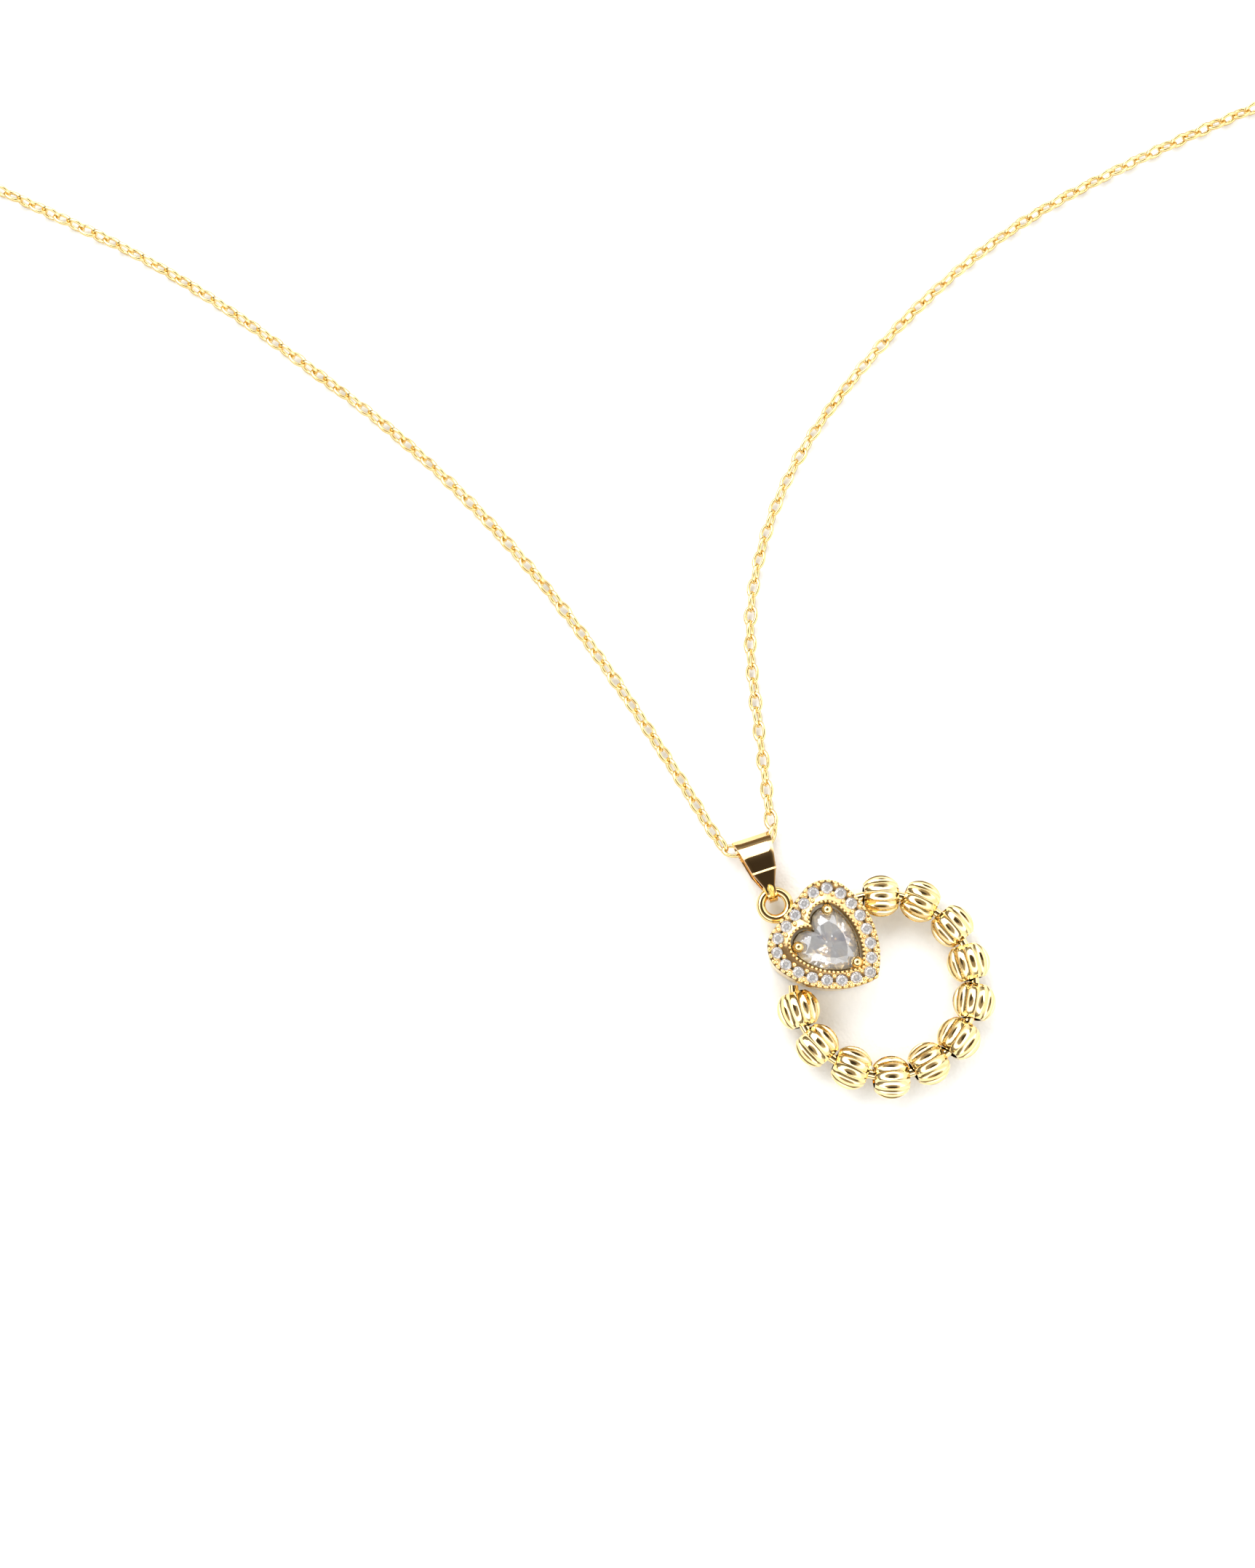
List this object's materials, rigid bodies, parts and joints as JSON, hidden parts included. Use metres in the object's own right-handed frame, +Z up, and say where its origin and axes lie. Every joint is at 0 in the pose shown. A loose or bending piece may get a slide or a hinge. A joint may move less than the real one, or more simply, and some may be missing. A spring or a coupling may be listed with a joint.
{
  "type": "pendant necklace",
  "caption": "Necklace of fine cable chain with a folded bail carrying a stone-set heart halo and a wire ring of loose round beads, closed by a lobster clasp.",
  "frame": {"origin": "on the table, under the middle of the pendant and its bail", "axes": "+Z up from the table, +Y towards the clasp, +X to the right as the pendant faces up"},
  "size_m": [0.1612, 0.1523, 0.0047],
  "materials": {
    "halo_gold": "polished gold plate, beaded edges",
    "bead_gold": "mirror polished gold plate",
    "bail_gold": "mirror polished gold plate",
    "chain_gold": "polished gold plate",
    "clasp_gold": "polished gold plate",
    "clear_stone": "faceted, clear",
    "spring_steel": "drawn wire"
  },
  "bodies": {
    "chain": {"chain": "chain_gold"},
    "bail": {"bail": "bail_gold"},
    "pendant": {"heart_frame": "halo_gold", "heart_setting": "halo_gold", "heart_stone": "clear_stone", "bead_wire": "halo_gold", "halo_stone_01": "clear_stone", "halo_stone_02": "clear_stone", "halo_stone_03": "clear_stone", "halo_stone_04": "clear_stone", "halo_stone_05": "clear_stone", "halo_stone_06": "clear_stone", "halo_stone_07": "clear_stone", "halo_stone_08": "clear_stone", "halo_stone_09": "clear_stone", "halo_stone_10": "clear_stone", "halo_stone_11": "clear_stone", "halo_stone_12": "clear_stone", "halo_stone_13": "clear_stone", "halo_stone_14": "clear_stone", "halo_stone_15": "clear_stone", "halo_stone_16": "clear_stone", "halo_stone_17": "clear_stone", "halo_stone_18": "clear_stone", "halo_stone_19": "clear_stone", "halo_stone_20": "clear_stone"},
    "bead_01": {"bead_01": "bead_gold"},
    "bead_02": {"bead_02": "bead_gold"},
    "bead_03": {"bead_03": "bead_gold"},
    "bead_04": {"bead_04": "bead_gold"},
    "bead_05": {"bead_05": "bead_gold"},
    "bead_06": {"bead_06": "bead_gold"},
    "bead_07": {"bead_07": "bead_gold"},
    "bead_08": {"bead_08": "bead_gold"},
    "bead_09": {"bead_09": "bead_gold"},
    "bead_10": {"bead_10": "bead_gold"},
    "bead_11": {"bead_11": "bead_gold"},
    "clasp": {"clasp_body": "clasp_gold", "clasp_pin": "clasp_gold", "clasp_spring": "spring_steel"},
    "clasp_lever": {"clasp_lever": "clasp_gold"},
    "clasp_ring": {"clasp_ring": "chain_gold"},
    "end_ring": {"end_ring": "chain_gold"},
    "end_link": {"end_link": "chain_gold"}
  },
  "joints": [
    {"name": "bail_swing", "type": "hinge", "parent": "chain", "child": "bail", "pos_m": [-0.00953, 0.01038, 0.00125], "axis": [-0.9494, -0.314, 0], "range_deg": [0, 105]},
    {"name": "pendant_swing", "type": "hinge", "parent": "bail", "child": "pendant", "pos_m": [-0.00829, 0.00663, 0.00155], "axis": [-0.9494, -0.314, 0], "range_deg": [0, 60]},
    {"name": "bead_01_spin", "type": "hinge", "parent": "pendant", "child": "bead_01", "pos_m": [0.00188, 0.00618, 0.00195], "axis": [-1, -0.0087, 0], "continuous": true},
    {"name": "bead_02_spin", "type": "hinge", "parent": "pendant", "child": "bead_02", "pos_m": [0.00552, 0.00569, 0.00195], "axis": [-0.907, 0.421, 0], "continuous": true},
    {"name": "bead_03_spin", "type": "hinge", "parent": "pendant", "child": "bead_03", "pos_m": [0.00841, 0.00337, 0.00195], "axis": [-0.6388, 0.7694, 0], "continuous": true},
    {"name": "bead_04_spin", "type": "hinge", "parent": "pendant", "child": "bead_04", "pos_m": [0.00976, -0.00001, 0.00195], "axis": [-0.247, 0.969, 0], "continuous": true},
    {"name": "bead_05_spin", "type": "hinge", "parent": "pendant", "child": "bead_05", "pos_m": [0.01015, -0.00361, 0.00195], "axis": [0.1925, 0.9813, 0], "continuous": true},
    {"name": "bead_06_spin", "type": "hinge", "parent": "pendant", "child": "bead_06", "pos_m": [0.00862, -0.00694, 0.00195], "axis": [0.5948, 0.8039, 0], "continuous": true},
    {"name": "bead_07_spin", "type": "hinge", "parent": "pendant", "child": "bead_07", "pos_m": [0.0058, -0.00922, 0.00195], "axis": [0.8821, 0.471, 0], "continuous": true},
    {"name": "bead_08_spin", "type": "hinge", "parent": "pendant", "child": "bead_08", "pos_m": [0.00235, -0.01047, 0.00195], "axis": [0.9989, 0.0471, 0], "continuous": true},
    {"name": "bead_09_spin", "type": "hinge", "parent": "pendant", "child": "bead_09", "pos_m": [-0.00123, -0.0096, 0.00195], "axis": [0.9225, -0.3859, 0], "continuous": true},
    {"name": "bead_10_spin", "type": "hinge", "parent": "pendant", "child": "bead_10", "pos_m": [-0.00427, -0.00758, 0.00195], "axis": [0.6678, -0.7443, 0], "continuous": true},
    {"name": "bead_11_spin", "type": "hinge", "parent": "pendant", "child": "bead_11", "pos_m": [-0.00591, -0.00433, 0.00195], "axis": [0.284, -0.9588, 0], "continuous": true},
    {"name": "clasp_turn", "type": "hinge", "parent": "chain", "child": "clasp", "pos_m": [-0.0253, 0.1371, 0.00175], "axis": [0, 0, 1], "range_deg": [-4, 0]},
    {"name": "lever_turn", "type": "hinge", "parent": "clasp", "child": "clasp_lever", "pos_m": [-0.02113, 0.13868, 0.00175], "axis": [0, 0, -1], "range_deg": [0, 14], "stiffness_Nm_per_rad": 0.0004, "springref_deg": -8.59},
    {"name": "clasp_ring_turn", "type": "hinge", "parent": "chain", "child": "clasp_ring", "pos_m": [-0.0265, 0.1371, 0.00175], "axis": [0, -0.8192, 0.5736], "continuous": true},
    {"name": "end_ring_turn", "type": "hinge", "parent": "chain", "child": "end_ring", "pos_m": [-0.01745, 0.1371, 0.00175], "axis": [0, -0.6947, 0.7193], "continuous": true},
    {"name": "end_link_turn", "type": "hinge", "parent": "chain", "child": "end_link", "pos_m": [-0.0151, 0.1371, 0.00175], "axis": [0, 0.8192, 0.5736], "continuous": true}
  ]
}
